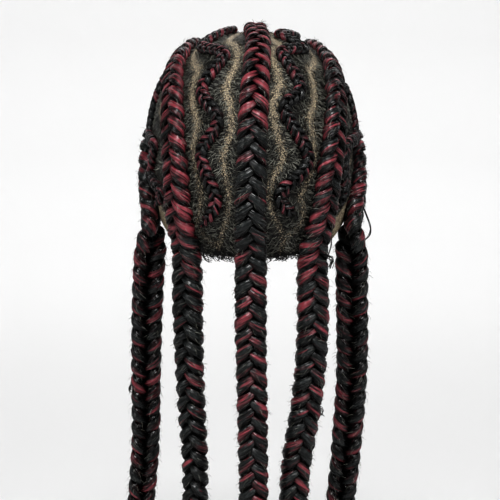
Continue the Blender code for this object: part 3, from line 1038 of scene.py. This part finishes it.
def build_lay_tree():
    """Hairs on a surface: short bent ribbons that follow its flow, as many as its hairiness asks for."""
    tree, given, made = new_tree(
        "laid_hair",
        {
            "Density": "Float",
            "Length": "Float",
            "Width": "Float",
            "Lift": "Float",
            "Spread": "Float",
            "Rise": "Float",
            "Seed": "Int",
            "Material": "Material",
        },
    )

    # Roots, each with the way that its hair lies there
    hairiness = add_node(tree, "GeometryNodeInputNamedAttribute", {"Name": "hairiness"}, data_type="FLOAT")
    flow = add_node(tree, "GeometryNodeInputNamedAttribute", {"Name": "flow"}, data_type="FLOAT_VECTOR")
    density = add_node(tree, "ShaderNodeMath", (hairiness, given.outputs["Density"]), operation="MULTIPLY")
    roots = add_node(
        tree,
        "GeometryNodeDistributePointsOnFaces",
        {"Mesh": given.outputs["Geometry"], "Density": density, "Seed": given.outputs["Seed"]},
    )
    turn = add_node(
        tree,
        "FunctionNodeAxesToRotation",
        {"Primary Axis": flow, "Secondary Axis": roots.outputs["Normal"]},
        primary_axis="X",
        secondary_axis="Z",
    )
    low = add_node(tree, "ShaderNodeMath", (given.outputs["Spread"], -1.0), operation="MULTIPLY")
    yaw = add_node(
        tree,
        "FunctionNodeRandomValue",
        {2: low, 3: given.outputs["Spread"], "Seed": given.outputs["Seed"]},
        data_type="FLOAT",
    )
    up = add_node(tree, "ShaderNodeMath", (given.outputs["Rise"], -1.0), operation="MULTIPLY")
    pitch = add_node(tree, "FunctionNodeRandomValue", {2: up, 3: 0.02, "Seed": 7}, data_type="FLOAT")
    tilt = add_node(tree, "ShaderNodeCombineXYZ", {"Y": pitch, "Z": yaw})
    tilt = add_node(tree, "FunctionNodeEulerToRotation", (tilt,))
    turn = add_node(tree, "FunctionNodeRotateRotation", (turn, tilt), rotation_space="LOCAL")

    # One hair: a ribbon that rises from its root and settles again
    hair = {"Size X": 1.0, "Size Y": 1.0, "Vertices X": 4, "Vertices Y": 2}
    hair = add_node(tree, "GeometryNodeMeshGrid", hair)
    spot = add_node(tree, "ShaderNodeSeparateXYZ", (add_node(tree, "GeometryNodeInputPosition"),))
    along = add_node(tree, "ShaderNodeMath", (spot.outputs["X"], 0.5), operation="ADD")
    arch = add_node(tree, "ShaderNodeMath", (along, math.pi), operation="MULTIPLY")
    arch = add_node(tree, "ShaderNodeMath", (arch,), operation="SINE")
    taper = add_node(tree, "ShaderNodeMath", (along, 3.0), operation="POWER")
    taper = add_node(tree, "ShaderNodeMath", (1.0, taper), operation="SUBTRACT")
    taper = add_node(tree, "ShaderNodeMath", (spot.outputs["Y"], taper), operation="MULTIPLY")
    ribbon = [
        add_node(tree, "ShaderNodeMath", (part, given.outputs[size]), operation="MULTIPLY")
        for part, size in ((along, "Length"), (taper, "Width"), (arch, "Lift"))
    ]
    ribbon = add_node(tree, "ShaderNodeCombineXYZ", ribbon)
    hair = add_node(tree, "GeometryNodeSetPosition", {"Geometry": hair, "Position": ribbon})
    hair = add_node(tree, "GeometryNodeSetShadeSmooth", {"Geometry": hair})

    # Hairs differ in length, and each is painted with a random amount of grey sheen
    size = add_node(tree, "FunctionNodeRandomValue", {2: 0.5, 3: 1.3, "Seed": 3}, data_type="FLOAT")
    size = add_node(tree, "ShaderNodeCombineXYZ", {"X": size, "Y": 1.0, "Z": size})
    hairs = add_node(
        tree,
        "GeometryNodeInstanceOnPoints",
        {"Points": roots, "Instance": hair, "Rotation": turn, "Scale": size},
    )
    # Painted sheen: how much grey light each hair is painted with, at random
    painted_light_tone = add_node(tree, "FunctionNodeRandomValue", {2: 0.0, 3: 1.0, "Seed": 11}, data_type="FLOAT")
    hairs = add_node(
        tree,
        "GeometryNodeStoreNamedAttribute",
        {"Geometry": hairs, "Name": "painted_light_tone", "Value": painted_light_tone},
        data_type="FLOAT",
        domain="INSTANCE",
    )
    hairs = add_node(tree, "GeometryNodeRealizeInstances", {"Geometry": hairs})
    hairs = add_node(
        tree, "GeometryNodeSetMaterial", {"Geometry": hairs, "Material": given.outputs["Material"]}
    )
    tree.links.new(hairs.outputs[0], made.inputs["Geometry"])
    return tree


def single_hair_material():
    """Single kinky fibres: near black, with a dull sheen, and some painted grey as a sheen where they
    would catch the light.
    """
    material, tree, shader = new_material("single_hairs", {"Roughness": 0.5, "Specular IOR Level": 0.4})
    painted_light_tone = add_node(tree, "ShaderNodeAttribute", attribute_name="painted_light_tone").outputs["Fac"]
    # Painted sheen: the more of it, the greyer the hair is painted
    light = add_node(tree, "ShaderNodeMath", (painted_light_tone, 2.0), operation="POWER")
    colors = {0: light, 6: linear_color("0c0b0b"), 7: linear_color("8c8c82")}
    color = add_node(tree, "ShaderNodeMix", colors, data_type="RGBA")
    tree.links.new(color.outputs[2], shader.inputs["Base Color"])
    return material


def build_cap():
    """The net and the hair laid over it. Returns the laid hair's tree and material for other hairs."""
    tree = build_lay_tree()
    hair = single_hair_material()
    mesh = cap_mesh()
    area = sum(face.area for face in mesh.polygons)
    laid = grow(
        "laid_hair",
        mesh.copy(),
        tree,
        {
            "Density": LAID_HAIRS / area,
            "Length": 0.0048,
            "Width": 0.0005,
            "Lift": 0.0007,
            "Spread": 0.8,
            "Rise": 0.35,
            "Seed": 5,
            "Material": hair,
        },
    )
    mesh.materials.append(net_material())
    mesh.shade_smooth()
    cap = add_object("net_cap", mesh)
    wall = cap.modifiers.new("wall", "SOLIDIFY")
    wall.thickness = NET_THICKNESS
    wall.offset = -1.0
    for piece in (cap, laid):
        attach(piece, "root")
    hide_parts("lace_cap")
    return tree, hair


lay_tree, single_hair = build_cap()


# The loose hairs
# Kinky fibre works out of the plaits: short hairs stand off every braid, and some long ones hang in
# bows or curl up in tufts.

STRAYS_PER_BRAID = 3500
WISP_GIRTH = 0.0005
WISP_SEED = 12
FRINGE_HAIRS = 260
FRINGE_REACH = 44.0
FRINGE_LENGTH = 0.0075
FRINGE_CURL = 0.0035
FRINGE_LIFT = 0.0004
FRINGE_BULGE = 0.0006
WISP_STEPS = 6
FRINGE_STEPS = 4

# Each wisp: the points it passes through, the hairs in it, and how far apart they wander
Wisp = namedtuple("Wisp", "knots hairs spread")
WISPS = (
    Wisp(
        knots=(
            (-0.0840, 0.024, -0.1265), (-0.0893, 0.024, -0.1396), (-0.0921, 0.024, -0.1483),
            (-0.0918, 0.024, -0.1562), (-0.0863, 0.024, -0.1598), (-0.0800, 0.024, -0.1580),
        ),
        hairs=5,
        spread=0.0007,
    ),
    Wisp(
        knots=(
            (0.0840, 0.021, -0.1620), (0.0912, 0.021, -0.1682), (0.0930, 0.021, -0.1730),
            (0.0905, 0.021, -0.1778), (0.0840, 0.021, -0.1790),
        ),
        hairs=3,
        spread=0.0005,
    ),
    Wisp(
        knots=((-0.0242, 0.098, -0.0985), (-0.0290, 0.099, -0.1023), (-0.0355, 0.096, -0.1098)),
        hairs=3,
        spread=0.0008,
    ),
    Wisp(
        knots=((-0.0600, 0.060, -0.1486), (-0.0600, 0.066, -0.1587), (-0.0560, 0.072, -0.1688)),
        hairs=3,
        spread=0.0006,
    ),
    Wisp(
        knots=(
            (0.0880, 0.02, -0.2700), (0.0945, 0.02, -0.2753),
            (0.0977, 0.02, -0.2785), (0.0961, 0.02, -0.2818),
        ),
        hairs=9,
        spread=0.0022,
    ),
    Wisp(
        knots=((-0.0470, 0.073, -0.2810), (-0.0525, 0.073, -0.2850), (-0.0540, 0.073, -0.2889)),
        hairs=7,
        spread=0.0018,
    ),
    Wisp(
        knots=((-0.0530, 0.073, -0.1640), (-0.0600, 0.073, -0.1680), (-0.0590, 0.073, -0.1742)),
        hairs=9,
        spread=0.0022,
    ),
    Wisp(
        knots=((0.0390, 0.082, -0.1560), (0.0352, 0.084, -0.1659), (0.0314, 0.083, -0.1690)),
        hairs=5,
        spread=0.0018,
    ),
    Wisp(
        knots=((-0.0860, 0.000, -0.0890), (-0.0860, 0.022, -0.0860), (-0.0770, 0.038, -0.0900)),
        hairs=6,
        spread=0.0015,
    ),
)


def build_strays(tree, material):
    for number, name in enumerate(BRAIDS):
        plait = bpy.data.objects[f"{name}_hair"].data.copy()
        area = sum(face.area for face in plait.polygons)
        settings = {
            "Density": STRAYS_PER_BRAID / area,
            "Length": 0.0065,
            "Width": 0.00022,
            "Lift": 0.0014,
            "Spread": 0.6,
            "Rise": 0.28,
            "Seed": 20 + number,
            "Material": material,
        }
        strays = grow(f"{name}_strays", plait, tree, settings)
        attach(strays, "root")


def build_wisp_tree():
    """A thin tube along every chain of edges."""
    tree, given, made = new_tree("wisp", {"Girth": "Float", "Material": "Material"})
    line = add_node(tree, "GeometryNodeMeshToCurve", {"Mesh": given.outputs["Geometry"]})
    half = add_node(tree, "ShaderNodeMath", (given.outputs["Girth"], 0.5), operation="MULTIPLY")
    circle = add_node(tree, "GeometryNodeCurvePrimitiveCircle", {"Resolution": 5, "Radius": half})
    hair = {"Curve": line, "Profile Curve": circle, "Fill Caps": True}
    hair = add_node(tree, "GeometryNodeCurveToMesh", hair)
    hair = add_node(tree, "GeometryNodeSetShadeSmooth", {"Geometry": hair})
    hair = add_node(tree, "GeometryNodeRealizeInstances", {"Geometry": hair})
    hair = {"Geometry": hair, "Material": given.outputs["Material"]}
    hair = add_node(tree, "GeometryNodeSetMaterial", hair)
    tree.links.new(hair.outputs[0], made.inputs["Geometry"])
    return tree


def add_chain(shape, points):
    chain = [shape.verts.new(point) for point in points]
    for pair in zip(chain, chain[1:]):
        shape.edges.new(pair)


def fringe_knots(chance):
    """A short hair that curls down over the rim at the nape, rooted a few degrees above it."""
    azimuth = chance.uniform(-FRINGE_REACH, FRINGE_REACH)
    elevation = rim_elevation(azimuth) + chance.uniform(1.0, 3.5)
    root, normal = on_head(direction(azimuth, elevation), CAP_WALL + FRINGE_LIFT)
    down = (Vector((0, 0, -1)) + normal * normal.z).normalized()
    side = down.cross(normal)
    length = FRINGE_LENGTH * chance.uniform(0.5, 1.1)
    bend = chance.uniform(-FRINGE_CURL, FRINGE_CURL)
    middle = root + down * length * 0.55 + side * bend + normal * FRINGE_BULGE
    return [root, middle, root + down * length - side * bend * chance.uniform(0.0, 0.8)]


def build_wisps(material):
    """Every hair of a wisp goes through its knots, each moved a little by chance.

    A fringe of short hairs is added along the rim at the nape.
    """
    chance = random.Random(WISP_SEED)
    shape = bmesh.new()
    for wisp in WISPS:
        for _ in range(wisp.hairs):
            knots = []
            for knot in wisp.knots:
                stray = Vector([chance.uniform(-wisp.spread, wisp.spread) for _ in range(3)])
                knots.append(Vector(knot) + stray)
            add_chain(shape, spline(knots, WISP_STEPS))
    for _ in range(FRINGE_HAIRS):
        add_chain(shape, spline(fringe_knots(chance), FRINGE_STEPS))
    mesh = bpy.data.meshes.new("wisps")
    shape.to_mesh(mesh)
    shape.free()
    wisps = grow("wisps", mesh, build_wisp_tree(), {"Girth": WISP_GIRTH, "Material": material})
    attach(wisps, "root")


build_strays(lay_tree, single_hair)
build_wisps(single_hair)
